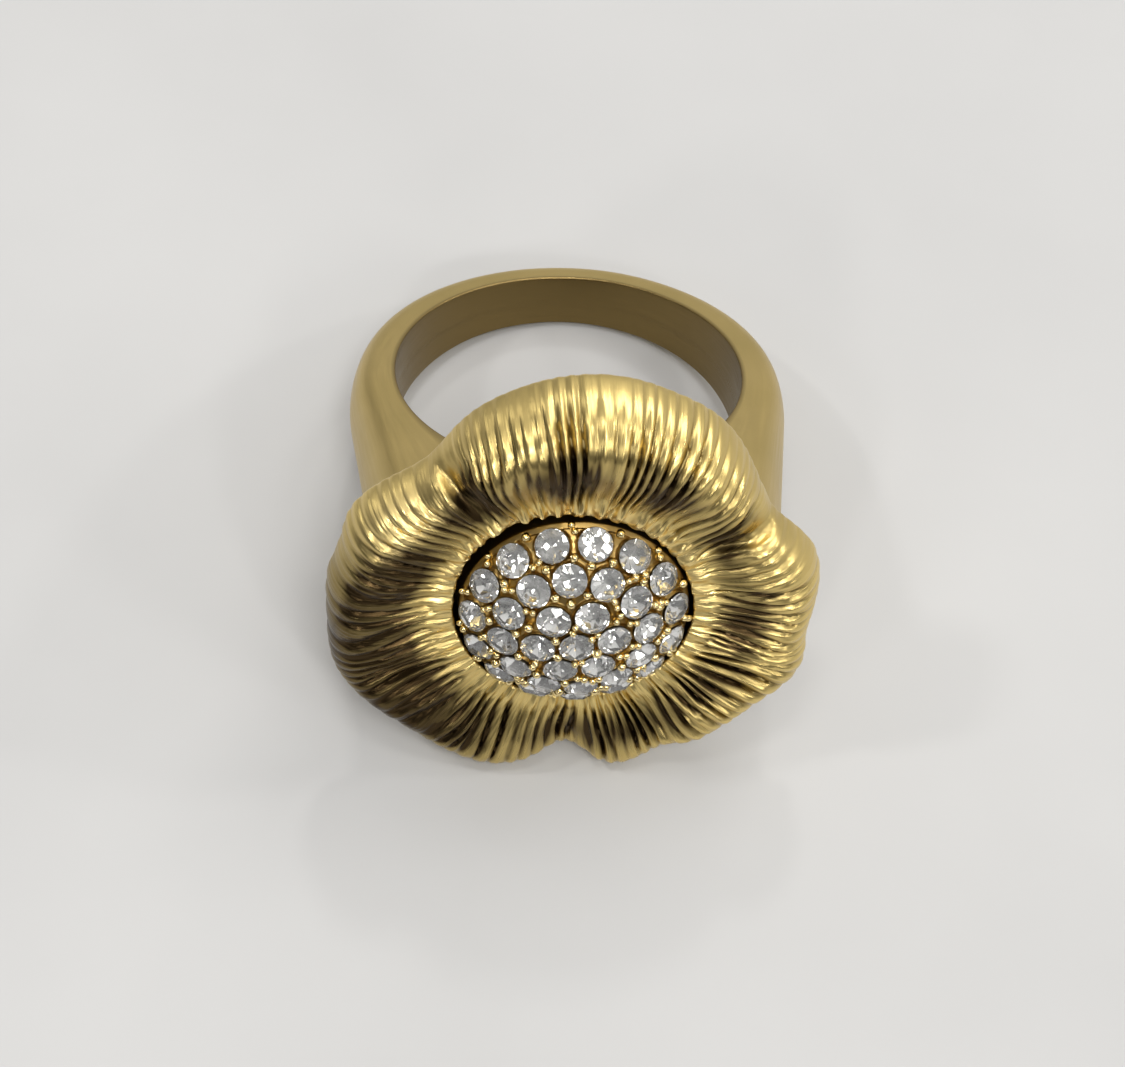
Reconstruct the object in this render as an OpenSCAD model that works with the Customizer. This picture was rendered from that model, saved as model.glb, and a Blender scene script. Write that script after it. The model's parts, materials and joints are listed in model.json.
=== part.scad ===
// Flower cocktail ring: a tapered shank, a five-lobed flower with a curled rim, and a raised pave dome
// of small round stones in the middle. It lies as it does on a table, on the back of the shank and on
// the two lower lobes. The origin is the centre of the finger hole and +Z is up.

/* [Finger hole and shank] */
// Diameter of the finger hole
finger_d = 17.3; // [15.7:0.1:19.8]
// Width of the shank at its back
shank_back_w = 2.95; // [2.4:0.05:3.6]
// Width of the shank at the flower
shank_front_w = 6; // [5.4:0.1:6.8]
// Thickness of the shank at its back
shank_back_t = 1.5; // [1.3:0.05:2]
// Thickness of the shank at its sides
shank_side_t = 2.2; // [2:0.05:2.6]
// Radius across the crowned outer face
crown_r = 4.5; // [4.2:0.1:8]
// Inward lean of the shoulders
shoulder_lean = 7; // [4:0.5:9]
// Height of the flat head over the finger hole, where the flower is soldered on
head_t = 2.75; // [2.6:0.05:3.2]

/* [Flower] */
// How far the flower's middle sits to the left of the finger hole's
flower_left = 0.35; // [0:0.05:0.4]
// Mean radius of the flower's rim
petal_r = 11.45; // [11:0.05:12]
// How much further than the mean the flower reaches to its left
petal_left = 0.05; // [0:0.05:0.2]
// How much further than the mean the flower reaches to its top
petal_top = 0.8; // [0.6:0.05:1.1]
// Height of the rim above the head, at the top petal, which curls back most
rim_rise_top = 1.6; // [1.6:0.1:2.5]
// Height of the rim above the head, between the two lower petals, which curl back least
rim_rise_bottom = 3.2; // [2.8:0.1:3.5]
// Height of the top petal's crest above the head
crest_rise_top = 5.1; // [4.8:0.1:5.4]
// Height of the lower petals' crest above the head
crest_rise_bottom = 4.5; // [4.5:0.1:5]
// Height of the inner lip round the dome above the head
lip_rise = 3.9; // [3.6:0.1:4]
// Where the top petal's crest lies between the inner lip and the rim
crest_at_top = 0.62; // [0.55:0.01:0.7]
// Where the lower petals' crest lies between the inner lip and the rim
crest_at_bottom = 0.8; // [0.7:0.01:0.85]
// Thickness of the petal casting
sheet_t = 1.4; // [1.2:0.05:1.6]
// Radius of the flower's hub, which sits on the head
hub_r = 6.4; // [6.2:0.1:6.8]
// Depth of the recess's floor above the head
floor_rise = 1.6; // [1.4:0.1:1.8]

/* [Dome and stones] */
// Radius of the dome's sphere
dome_r = 6.95; // [6.8:0.05:7.1]
// Height of the dome's top above the head
dome_rise = 6.35; // [6.2:0.05:6.5]
// Outer radius of the dome's skirt
skirt_r = 5.4; // [5.35:0.01:5.45]
// Gap between the dome and the petals
dome_gap = 0.35; // [0.25:0.05:0.45]
// Wall thickness of the dome
cup_t = 1.2; // [1.1:0.05:1.3]
// Diameter of one stone
stone_d = 1.62; // [1.5:0.02:1.64]
// Diameter of one setting bead
bead_d = 0.34; // [0.3:0.02:0.36]
// Diameter of the pin through the dome, the flower and the head
pin_d = 1.8; // [1.5:0.1:2]

/* [Hidden] */
$fn = 96;
finger_r = finger_d / 2;
clearance = 0.02;
past = 1;

// Shank: the outer face turns about an axis set back from the finger hole's centre
outer_extra = 0.4;
outer_r = finger_r + (shank_back_t + shank_side_t) / 2 + outer_extra;
outer_y = finger_r + shank_back_t - outer_r;
width_slope = (shank_front_w - shank_back_w) / 2 / finger_d;
half_w_mid = (shank_front_w + shank_back_w) / 4;
function half_w(y) = half_w_mid - width_slope * y;
head_h = finger_r + head_t;

// Where petals meet or the rim swells: angle, cut in the rim (a swelling is negative) and its width
// before and after, drop of the crest and its width before and after
dips = [
    [12, -0.27, 12, 10, 0, 8, 8],
    [30, 1.5, 14, 23, 0.9, 8, 12],
    [69, 0.15, 9, 9, 0, 8, 8],
    [119, -0.45, 12, 12, 0, 8, 8],
    [130, 2, 24, 20, 0.9, 8, 14],
    [165, 0.33, 7, 7, 0, 8, 8],
    [203, -0.75, 14, 15, 0.4, 8, 8],
    [245, -0.25, 14, 10, 0, 8, 8],
    [270, 1.5, 12, 9, 0.9, 8, 8],
    [298, 0.55, 9, 6, 0.1, 6, 5],
    [338, -0.8, 9, 9, 0.4, 8, 8],
];
recess_r = skirt_r + dome_gap;
lip_w = 0.1;
lip_drop = 0.4;
lip_r = recess_r + lip_w;
lip_h = head_h + lip_rise;
floor_h = head_h + floor_rise;
rim_edge_t = 0.3;
hub_flare = 0.3;
hub_wall = 0.9;
foot_w = 2.7;
foot_h = 2.6;
foot_margin = 0.3;
petal_steps = 120;

function turn(a, b) = (a - b + 540) % 360 - 180;
function dip(a, d, c) = let(t = turn(a, d[0]), w = t < 0 ? d[c + 1] : d[c + 2]) d[c] * exp(-pow(t / w, 2));
function dips_at(a, c) = [for (d = dips) dip(a, d, c)] * [for (d = dips) 1];
function blend(bottom, top, a) = bottom + (top - bottom) * (1 + sin(a)) / 2;
function rim_r(a) = petal_r - petal_left * cos(a) + petal_top * sin(a) - dips_at(a, 1);
function rim_h(a) = head_h + blend(rim_rise_bottom, rim_rise_top, a);
function crest_h(a) = head_h + blend(crest_rise_bottom, crest_rise_top, a) - dips_at(a, 4);
function crest_at(a) = blend(crest_at_bottom, crest_at_top, a);
function at(s, a) = lip_r + s * (rim_r(a) - lip_r);

// Height of the petals' face at a share s of the way from the lip to the rim
function face_h(s, a) = let(c = crest_at(a)) s < c
    ? lip_h + (crest_h(a) - lip_h) * (1 - cos(180 * s / c)) / 2
    : rim_h(a) + (crest_h(a) - rim_h(a)) * sqrt(max(0, 1 - pow((s - c) / (1 - c), 2)));

face_shares = [0, 0.12, 0.24, 0.36, 0.48, 0.6, 0.7, 0.8, 0.88, 0.94, 0.98, 1];
rim_edge_at = 0.97;
back_shares = [0.9, 0.8, 0.65, 0.5, 0.35, 0.2];
// The cross-section of the flower in one direction, from the recess's floor over the rim to the hub
function section(a) = concat(
    [[recess_r, floor_h], [recess_r, lip_h - lip_drop]],
    [for (s = face_shares) [at(s, a), face_h(s, a)]],
    [[at(rim_edge_at, a), rim_h(a) - rim_edge_t]],
    [for (s = back_shares) [at(s, a), face_h(s, a) - sheet_t]],
    [[hub_r + hub_flare, head_h + hub_wall], [hub_r, head_h]]
);

// How the ring lies: the lowest rim points and the back edge of the shank meet the table
back_edge_z = half_w(finger_r + shank_back_t);
back_edge_y = finger_r + shank_back_t - crown_r + sqrt(pow(crown_r, 2) - pow(back_edge_z, 2));
lie_tilt = max([for (a = [200:1:340]) atan2(-rim_r(a) * sin(a) - back_edge_z, rim_h(a) + back_edge_y)]);

// Stones stand in rings on the dome: how many, angle from the dome's axis, turn of the first
stone_rings = [[1, 0, 0], [6, 14.7, 8], [12, 29, 7], [15, 42.8, 9]];
stones = [for (r = stone_rings) for (i = [0:r[0] - 1]) [r[1], r[2] + i * 360 / r[0]]];
bead_rings = [[6, 8.5, 38], [6, 19.8, 38], [12, 23.4, 22], [12, 34.8, 22], [15, 37.6, 21], [15, 48.6, 21]];
beads = [for (r = bead_rings) for (i = [0:r[0] - 1]) [r[1], r[2] + i * 360 / r[0]]];
dome_c = head_h + dome_rise - dome_r;
stone_r = stone_d / 2;
girdle_t = 0.06;
crown_h = 0.24;
table_r = 0.6 * stone_r;
pavilion_h = 0.86 * stone_r;
stone_proud = 0.04;
girdle_at = dome_r + stone_proud;
pin_r = pin_d / 2;
boss_wall = 0.7;
boss_r = pin_r + boss_wall;
pin_top = dome_c + dome_r - 1.25 * cup_t;
pin_foot = finger_r + 1;

function stone_name(i) = str("stone_", i < 9 ? "0" : "", i + 1);
stone_names = [for (i = [0:len(stones) - 1]) stone_name(i)];

// The ring as it lies on a table
module lie() {
    rotate([-lie_tilt, 0, 0]) children();
}

// The flower's own frame: +Z out of the flower's face, +X to the right, +Y towards its top
module on_flower() {
    lie() translate([-flower_left, 0, 0]) rotate([90, 0, 0]) children();
}

module on_dome(place) {
    translate([0, 0, dome_c]) rotate([0, 0, place[1]]) rotate([0, place[0], 0]) children();
}

module crown_section() {
    intersection() {
        translate([outer_r - crown_r, 0]) circle(crown_r);
        translate([finger_r - 2, -shank_front_w]) square([outer_r, 2 * shank_front_w]);
    }
}

module shoulder() {
    translate([0, outer_y, 0]) rotate([90, 0, -shoulder_lean]) linear_extrude(head_h) crown_section();
}

module shank() {
    color("goldenrod") lie() difference() {
        intersection() {
            union() {
                translate([0, outer_y, 0]) rotate([0, 0, -shoulder_lean])
                    rotate_extrude(angle = 180 + 2 * shoulder_lean) crown_section();
                shoulder();
                mirror([1, 0, 0]) shoulder();
                translate([-finger_r, -head_h, -shank_front_w])
                    cube([2 * finger_r, head_t + finger_r / 2, 2 * shank_front_w]);
            }
            // the two side faces, which part towards the flower
            rotate([90, 0, 90]) linear_extrude(4 * finger_r, center = true) polygon([
                [-head_h, -half_w(-head_h)], [2 * finger_r, -half_w(2 * finger_r)],
                [2 * finger_r, half_w(2 * finger_r)], [-head_h, half_w(-head_h)]
            ]);
        }
        cylinder(h = 4 * finger_r, r = finger_r, center = true);
        translate([-flower_left, 0, 0]) rotate([90, 0, 0]) translate([0, 0, pin_foot])
            cylinder(h = head_t, r = pin_r + clearance);
    }
}

// One closed skin from the sections all round, with flat discs over the recess's floor and the hub
module petals() {
    angles = [for (i = [0:petal_steps - 1]) i * 360 / petal_steps];
    rows = [for (a = angles) [for (p = section(a)) [p[0] * cos(a), p[0] * sin(a), p[1]]]];
    n = len(rows[0]);
    points = [for (r = rows) each r];
    sides = [
        for (i = [0:petal_steps - 1]) let(j = (i + 1) % petal_steps) for (k = [0:n - 2])
            each [[i * n + k, j * n + k + 1, i * n + k + 1], [i * n + k, j * n + k, j * n + k + 1]]
    ];
    floor_disc = [for (i = [petal_steps - 1:-1:0]) i * n];
    hub_disc = [for (i = [0:petal_steps - 1]) i * n + n - 1];
    polyhedron(points, concat(sides, [floor_disc, hub_disc]));
}

// A block under a side petal that stands on the shank's shoulder
module foot() {
    foot_depth = 2 * (half_w(-head_h) - foot_margin);
    translate([hub_r - hub_flare, -foot_depth / 2, head_h]) cube([foot_w, foot_depth, foot_h]);
}

module flower() {
    color("darkgoldenrod") on_flower() difference() {
        union() {
            petals();
            foot();
            mirror([1, 0, 0]) foot();
        }
        translate([0, 0, head_h - past]) cylinder(h = floor_rise + 2 * past, r = pin_r + clearance);
    }
}

module pave_dome() {
    color("gold") on_flower() difference() {
        union() {
            rotate_extrude() difference() {
                intersection() {
                    translate([0, dome_c]) circle(dome_r);
                    translate([0, floor_h]) square([skirt_r, 2 * dome_r]);
                }
                intersection() {
                    translate([0, dome_c]) circle(dome_r - cup_t);
                    translate([boss_r, floor_h - past]) square([skirt_r - cup_t - boss_r, 2 * dome_r]);
                }
            }
            for (b = beads) on_dome(b) translate([0, 0, dome_r]) sphere(d = bead_d, $fn = 32);
        }
        for (s = stones) on_dome(s) translate([0, 0, girdle_at - pavilion_h - clearance])
            cylinder(h = pavilion_h + clearance, r1 = 0, r2 = stone_r + clearance, $fn = 32);
        translate([0, 0, floor_h - past]) cylinder(h = pin_top - floor_h + past, r = pin_r + clearance);
    }
}

module centre_pin() {
    color("peru") on_flower() translate([0, 0, pin_foot]) cylinder(h = pin_top - pin_foot, r = pin_r);
}

// A round stone with eight facets above and eight below the girdle
module stone(i) {
    corners = [for (k = [0:7]) [cos(k * 45), sin(k * 45)]];
    points = concat(
        [[0, 0, -pavilion_h]],
        [for (c = corners) [stone_r * c[0], stone_r * c[1], 0]],
        [for (c = corners) [stone_r * c[0], stone_r * c[1], girdle_t]],
        [for (c = corners) [table_r * c[0], table_r * c[1], girdle_t + crown_h]]
    );
    faces = concat(
        [for (k = [0:7]) let(m = (k + 1) % 8) each [
            [0, 1 + k, 1 + m],
            [1 + k, 9 + k, 9 + m, 1 + m],
            [9 + k, 17 + k, 17 + m, 9 + m],
        ]],
        [[for (k = [7:-1:0]) 17 + k]]
    );
    color("whitesmoke") on_flower() on_dome(stones[i]) translate([0, 0, girdle_at])
        polyhedron(points, faces);
}

shank();
flower();
pave_dome();
centre_pin();
for (i = [0:len(stones) - 1]) stone(i);
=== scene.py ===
"""Looks of the flower cocktail ring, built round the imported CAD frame. Lengths are in millimetres
in the ring's own frame (X right, Y towards the back of the shank, Z along the finger hole's axis)
until place() turns them as the ring lies and scales them to metres."""

import json
import math

import bpy
import numpy as np
from mathutils import Matrix, Vector


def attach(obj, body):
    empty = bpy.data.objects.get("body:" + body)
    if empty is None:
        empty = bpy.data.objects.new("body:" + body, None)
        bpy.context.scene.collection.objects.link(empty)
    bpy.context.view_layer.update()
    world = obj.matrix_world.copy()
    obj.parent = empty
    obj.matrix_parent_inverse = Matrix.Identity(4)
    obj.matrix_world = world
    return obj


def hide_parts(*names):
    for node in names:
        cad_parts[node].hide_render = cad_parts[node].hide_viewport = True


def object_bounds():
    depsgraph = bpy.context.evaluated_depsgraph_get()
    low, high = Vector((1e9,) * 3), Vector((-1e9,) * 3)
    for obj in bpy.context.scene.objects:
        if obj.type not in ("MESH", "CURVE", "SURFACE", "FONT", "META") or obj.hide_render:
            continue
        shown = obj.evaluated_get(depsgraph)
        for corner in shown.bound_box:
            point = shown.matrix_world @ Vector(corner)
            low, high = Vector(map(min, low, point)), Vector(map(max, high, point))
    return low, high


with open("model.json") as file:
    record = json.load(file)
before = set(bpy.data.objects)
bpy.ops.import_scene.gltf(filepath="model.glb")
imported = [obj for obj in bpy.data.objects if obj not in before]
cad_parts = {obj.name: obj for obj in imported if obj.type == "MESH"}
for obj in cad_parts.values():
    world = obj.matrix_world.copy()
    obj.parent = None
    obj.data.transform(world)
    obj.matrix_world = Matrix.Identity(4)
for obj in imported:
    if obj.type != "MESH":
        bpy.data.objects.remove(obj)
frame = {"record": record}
cad_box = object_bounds()

MM = 0.001
SEED = 7

# The finger hole comes from the record: its radius, and the lean of its axis as the ring lies
HOLE = next(m for m in frame["record"]["mounts"] if m["name"] == "finger_hole")
FINGER_R = HOLE["dims"]["r_mm"]
TILT = math.atan2(HOLE["axis"][1], HOLE["axis"][2])

# Shank
BACK_W, FRONT_W = 2.95, 6.0
BACK_T, SIDE_T, OUTER_EXTRA = 1.5, 2.2, 0.4
CROWN_R = 4.5
LEAN = math.radians(7)
HEAD_H = FINGER_R + 2.75
OUTER_R = FINGER_R + (BACK_T + SIDE_T) / 2 + OUTER_EXTRA
OUTER_Y = FINGER_R + BACK_T - OUTER_R
SIDE_SLOPE = (FRONT_W - BACK_W) / (4 * FINGER_R)
HALF_W_MID = (FRONT_W + BACK_W) / 4

# Flower: heights are above the finger hole's axis, along the flower's own axis
SKIRT_R = 5.4
RECESS_R = SKIRT_R + 0.35
LIP_R = RECESS_R + 0.1
LIP_H = HEAD_H + 3.9
FLOOR_H = HEAD_H + 1.6
SHEET_T = 1.4
HUB_R = 6.4
FLOWER_LEFT = 0.35
PETAL_R, PETAL_LEFT, PETAL_TOP = 11.45, 0.05, 0.8
RIM_RISE = (3.2, 1.6)
CREST_RISE = (4.5, 5.1)
CREST_AT = (0.8, 0.62)
# Where petals meet or the rim swells: angle, cut in the rim (a swelling is negative) and its widths
# before and after, drop of the crest and its widths
DIPS = (
    (12, -0.27, 12, 10, 0, 8, 8),
    (30, 1.5, 14, 23, 0.9, 8, 12),
    (69, 0.15, 9, 9, 0, 8, 8),
    (119, -0.45, 12, 12, 0, 8, 8),
    (130, 2.0, 24, 20, 0.9, 8, 14),
    (165, 0.33, 7, 7, 0, 8, 8),
    (203, -0.75, 14, 15, 0.4, 8, 8),
    (245, -0.25, 14, 10, 0, 8, 8),
    (270, 1.5, 12, 9, 0.9, 8, 8),
    (298, 0.55, 9, 6, 0.1, 6, 5),
    (338, -0.8, 9, 9, 0.4, 8, 8),
)
# How far the lip leans in over the dome's edge: below, at the upper left (outwards) and at the right
LEAN_BELOW, LEAN_LEFT, LEAN_RIGHT = 0.2, -0.36, 0.2
# How many ridges go round, how deep they are, and the share of that depth that is cut into the petal
RIDGES, WIDE_RIDGES, FINE_RIDGES = 112, 82, 238
RIDGE_DEPTH, RIDGE_CUT = 0.24, 0.62
LIP_BLOBS, BLOB_HEIGHT = 42, 0.34
# Where the side petals' edges lie over the top petal
LEFT_EDGE_AT, RIGHT_EDGE_AT = 128, 29
# Furrows down the lower side petals: angle, width and depth
FURROWS = ((339, 2.6, 0.2), (205, 2.6, 0.18))
# The blocks under the side petals: middle, corners, roundness, and per level the height over the
# head, the reach outwards and the half width
FOOT_X, FOOT_CORNERS, FOOT_SQUARENESS = 7.6, 32, 0.45
FOOT_LEVELS = (
    (-0.05, 9.35, 2.95),
    (0.5, 9.3, 2.85),
    (1.3, 9.2, 2.7),
    (2.2, 9.15, 2.6),
    (2.9, 8.9, 2.5),
)
# The flower's grid: points round each row; a row in the middle of the face; how many rows come before
# the lip, and the last row of the rim
FLOWER_COLUMNS = 1008
FACE_ROW, RECESS_ROWS, LAST_RIM_ROW = 25, 9, 70

# Dome and stones. A ring of stones or beads is how many, the angle from the dome's axis and the turn
# of the first
DOME_R = 6.95
DOME_C = HEAD_H + 6.35 - DOME_R
STONE_R = 0.81
STONE_RINGS = ((1, 0, 0), (6, 14.7, 8), (12, 29, 7), (15, 42.8, 9))
BEAD_RINGS = (
    (6, 8.5, 38),
    (6, 19.8, 38),
    (12, 23.4, 22),
    (12, 34.8, 22),
    (15, 37.6, 21),
    (15, 48.6, 21),
)
BEAD_R = 0.205
BEAD_APART = 0.17
SEAT_GAP = 0.02
GIRDLE_AT = DOME_R + 0.04
GIRDLE_T = 0.06
CROWN_H = 0.26
PAVILION_H = 0.86 * STONE_R
STONE_TIP = math.radians(2.5)

# Pin
PIN_R, PIN_ROUND = 0.9, 0.08
PIN_FOOT, PIN_TOP = FINGER_R + 1, DOME_C + DOME_R - 1.5


# ---------- frames ----------
def place(points):
    """Points in the ring's own frame, in millimetres, to the row frame in metres."""
    p = np.asarray(points, float).reshape(-1, 3)
    c, s = math.cos(TILT), math.sin(TILT)
    return np.stack([p[:, 0], p[:, 1] * c + p[:, 2] * s, -p[:, 1] * s + p[:, 2] * c], 1) * MM


def on_flower(points):
    """Points in the flower's frame (Z out of its face, Y to its top) to the ring's own frame."""
    p = np.asarray(points, float).reshape(-1, 3)
    return np.stack([p[:, 0] - FLOWER_LEFT, -p[:, 2], p[:, 1]], 1)


def on_dome(points, polar, turn, radius=0.0):
    """Points round the origin, moved out along +Z by radius and turned to a place on the dome."""
    p = np.asarray(points, float).reshape(-1, 3) + (0, 0, radius)
    cp, sp = math.cos(math.radians(polar)), math.sin(math.radians(polar))
    ct, st = math.cos(math.radians(turn)), math.sin(math.radians(turn))
    x = p[:, 0] * cp + p[:, 2] * sp
    z = -p[:, 0] * sp + p[:, 2] * cp
    return np.stack([x * ct - p[:, 1] * st, x * st + p[:, 1] * ct, z + DOME_C], 1)


def places(rings):
    """Polar angle and turn, in degrees, of everything in some rings round the dome."""
    return [(polar, turn + i * 360 / count) for count, polar, turn in rings for i in range(count)]


# ---------- meshes ----------
def make_piece(name, points, faces, sharp=60, slots=None):
    """A mesh object from points in metres. slots gives each face's material index."""
    mesh = bpy.data.meshes.new(name)
    mesh.from_pydata(np.asarray(points).tolist(), [], [list(map(int, f)) for f in faces])
    mesh.polygons.foreach_set("use_smooth", [True] * len(mesh.polygons))
    if slots is not None:
        mesh.polygons.foreach_set("material_index", slots)
    mesh.validate()
    mesh.set_sharp_from_angle(angle=math.radians(sharp))
    obj = bpy.data.objects.new(name, mesh)
    bpy.context.scene.collection.objects.link(obj)
    return obj


def loop_grid(rows, columns, closed_rows=False):
    """Quads of a grid whose points run along the columns within each row, each row a closed loop."""
    i = np.arange(rows if closed_rows else rows - 1)
    i, j = np.meshgrid(i, np.arange(columns), indexing="ij")
    i2, j2 = (i + 1) % rows, (j + 1) % columns
    quads = np.stack([i * columns + j, i * columns + j2, i2 * columns + j2, i2 * columns + j], -1)
    return quads.reshape(-1, 4)


def end_faces(rows, columns):
    """The faces that close a grid's first and last rows."""
    return [list(range(columns))[::-1], list(range((rows - 1) * columns, rows * columns))]


def bezier(a, b, c, steps):
    """Points on a curve from a to c that is drawn towards b."""
    t = np.linspace(0, 1, steps)[:, None]
    return (1 - t) ** 2 * np.asarray(a) + 2 * t * (1 - t) * np.asarray(b) + t ** 2 * np.asarray(c)


# ---------- shank ----------
SHOULDER_NORMAL = np.array([math.cos(LEAN), -math.sin(LEAN)])
CORNER_X = (OUTER_R - (HEAD_H + OUTER_Y) * math.sin(LEAN)) / math.cos(LEAN)
EDGE_BACK, EDGE_FRONT, INNER_EDGE = 0.55, 0.6, 0.1
BACK_STEPS, SHOULDER_STEPS, HEAD_STEPS = 110, 30, 21
UNEVENNESS = 0.018


def half_w(y):
    return HALF_W_MID - SIDE_SLOPE * y


def crown_drop(z):
    """How far the shank's rounded outer face falls, at a distance z from its middle line."""
    return CROWN_R - math.sqrt(CROWN_R ** 2 - z * z)


def corner_at(z):
    """Where the crowned shoulder meets the head's plane, at a distance z from the middle."""
    return np.array([CORNER_X - crown_drop(z) / math.cos(LEAN), -HEAD_H])


def shank_section(outer_at, edge):
    """One closed section of the shank: the inner wall, the side, the outer face, and the mirror image.
    outer_at gives the outer surface at a distance z from the middle; edge rounds the outer edge."""
    middle = outer_at(0)
    inner = middle / np.linalg.norm(middle) * FINGER_R
    inner_z = half_w(inner[1])
    corner_z = half_w(outer_at(half_w(middle[1]))[1])
    a = np.append(inner, inner_z)
    k = np.append(outer_at(corner_z), corner_z)
    along = (k - a) / np.linalg.norm(k - a)
    wall = np.array([np.append(inner, z) for z in np.linspace(0, inner_z - INNER_EDGE, 5)])
    inner_round = bezier(wall[-1], a, a + INNER_EDGE * along, 6)[1:]
    side = np.linspace(a + INNER_EDGE * along, k - edge * along, 7)[1:]
    face_start = np.append(outer_at(corner_z - edge), corner_z - edge)
    outer_round = bezier(side[-1], k, face_start, 8)[1:]
    face = np.array([np.append(outer_at(z), z) for z in np.linspace(corner_z - edge, 0, 12)[1:]])
    top = np.concatenate([wall, inner_round, side, outer_round, face])
    return np.concatenate([top, top[-2:0:-1] * (1, 1, -1)])


def shank_rows():
    """Sections from the middle of the back to the middle of the head, on the right-hand side."""
    rows = []
    centre = np.array([0, OUTER_Y])
    for b in np.linspace(math.pi / 2, -LEAN, BACK_STEPS):
        normal = np.array([math.cos(b), math.sin(b)])
        share = (math.pi / 2 - b) / (math.pi / 2 + LEAN)
        edge = EDGE_BACK + (EDGE_FRONT - EDGE_BACK) * share
        rows.append(shank_section(lambda z: centre + (OUTER_R - crown_drop(z)) * normal, edge))
    for t in np.linspace(0, 1, SHOULDER_STEPS + 1)[1:]:
        def shoulder(z):
            start = centre + (OUTER_R - crown_drop(z)) * SHOULDER_NORMAL
            return start + t * (corner_at(z) - start)
        rows.append(shank_section(shoulder, EDGE_FRONT))
    for u in np.linspace(1, 0, HEAD_STEPS + 1)[1:]:
        rows.append(shank_section(lambda z: corner_at(z) * (u, 1), EDGE_FRONT))
    return rows


def lengths(points):
    """The distance along a line of points from its first to each."""
    return np.cumsum(np.append(0, np.linalg.norm(np.diff(points, axis=0), axis=1)))


def build_shank():
    right = shank_rows()
    left = [section * (-1, 1, 1) for section in right[-2:0:-1]]
    rows = np.array(right + left)
    count, size = rows.shape[:2]
    around, across = lengths(rows[:, 0]), lengths(rows[0])
    points = rows.reshape(-1, 3)
    points = points + hand_finish(points, UNEVENNESS)
    obj = make_piece("shank_cast", place(points), loop_grid(count, size, closed_rows=True), sharp=42)
    brush = np.stack([np.repeat(around, size), np.tile(across, count), np.zeros(count * size)], 1)
    add_vectors(obj, "brush", brush)
    # Painted shade: marks the finger hole's inner wall so that its colour is darkened there
    inner_wall_shade = step(0.25, 0.0, np.hypot(rows[:, :, 0], rows[:, :, 1]) - FINGER_R)
    add_values(obj, "inner_wall_shade", inner_wall_shade.ravel())
    return obj


def hand_finish(points, depth):
    """A slow unevenness in millimetres, as polishing by hand leaves it."""
    rng = np.random.default_rng(SEED)
    shift = np.zeros_like(points)
    for axis in range(3):
        for _ in range(5):
            wave = rng.normal(size=3) * 0.75
            shift[:, axis] += np.cos(points @ wave + rng.uniform(0, 6.28)) / 5
    return shift * depth


def add_vectors(obj, name, values):
    layer = obj.data.attributes.new(name, "FLOAT_VECTOR", "POINT")
    layer.data.foreach_set("vector", np.asarray(values, np.float32).ravel())


def add_values(obj, name, values):
    layer = obj.data.attributes.new(name, "FLOAT", "POINT")
    layer.data.foreach_set("value", np.asarray(values, np.float32).ravel())


# ---------- flower ----------
def turn_from(a, b):
    """The turn in degrees from b to a, -180 to 180."""
    return (a - b + 540) % 360 - 180


def dips_at(a, column):
    """The sum of all dips at angles a: column 1 for the rim's cuts, 4 for the crest's drops."""
    total = np.zeros_like(a)
    for dip in DIPS:
        t = turn_from(a, dip[0])
        width = np.where(t < 0, dip[column + 1], dip[column + 2])
        total += dip[column] * bell(t, 0, width)
    return total


def blend(pair, a):
    """From the first value at the bottom of the flower to the second at its top."""
    return pair[0] + (pair[1] - pair[0]) * (1 + np.sin(np.radians(a))) / 2


def rim_r(a):
    across, up = np.cos(np.radians(a)), np.sin(np.radians(a))
    return PETAL_R - PETAL_LEFT * across + PETAL_TOP * up - dips_at(a, 1)


def rim_h(a):
    return HEAD_H + blend(RIM_RISE, a)


def crest_h(a):
    return HEAD_H + blend(CREST_RISE, a) - dips_at(a, 4)


def at(s, a):
    """The radius at a share s of the way from the lip to the rim."""
    return LIP_R + s * (rim_r(a) - LIP_R)


def face_h(s, a):
    """The face's height: it rises from the lip to the crest, then curls down to the rim."""
    c = blend(CREST_AT, a)
    rise = LIP_H + (crest_h(a) - LIP_H) * (1 - np.cos(np.pi * np.minimum(s / c, 1))) / 2
    curl = np.clip((s - c) / (1 - c), 0, 1)
    fall = rim_h(a) + (crest_h(a) - rim_h(a)) * np.sqrt(np.maximum(0, 1 - curl ** 2))
    return np.where(s < c, rise, fall)


def step(lo, hi, x):
    """A smooth step from 0 at lo to 1 at hi."""
    t = np.clip((x - lo) / (hi - lo), 0, 1)
    return t * t * (3 - 2 * t)


def waves(a, s, rng, lowest, highest, along, count):
    """A smooth random field over the petals, about -1 to 1, that closes on itself round the flower."""
    total = np.zeros(np.broadcast(a, s).shape)
    for _ in range(count):
        turns = rng.integers(lowest, highest + 1)
        drift = rng.normal() * along
        total += np.cos(turns * np.radians(a) + drift * s + rng.uniform(0, 2 * np.pi))
    return total / math.sqrt(count) * 0.9


def ridge(turns, warp, a):
    """Rounded ridges with sharp grooves between them, 0 in a groove and 1 on a ridge."""
    return np.abs(np.sin(turns * np.radians(a) / 2 + warp))


def sway(a, s, rng):
    """How far the ridges wander sideways, as a phase: neighbours mostly wander together."""
    slow = waves(a, s, rng, 2, 9, 3.0, 8) * 1.3
    return slow + waves(a, s, rng, 9, 30, 1.6, 10) * 0.75


def ridge_field(a, s):
    """How high the brushed ridges stand over the petals, 0 to 1, before their depth is applied."""
    rng = np.random.default_rng(SEED)
    lines = ridge(RIDGES, sway(a, s, rng), a)
    wide_lines = ridge(WIDE_RIDGES, sway(a, s, rng), a)
    fine_lines = ridge(FINE_RIDGES, 2 * sway(a, s, rng), a)
    mix = step(-0.4, 0.4, waves(a, s, rng, 4, 18, 1.8, 8)) * (1 - 0.6 * top_share(a))
    return (lines * (1 - mix) + wide_lines * mix) * 0.85 + fine_lines * 0.15


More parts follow.
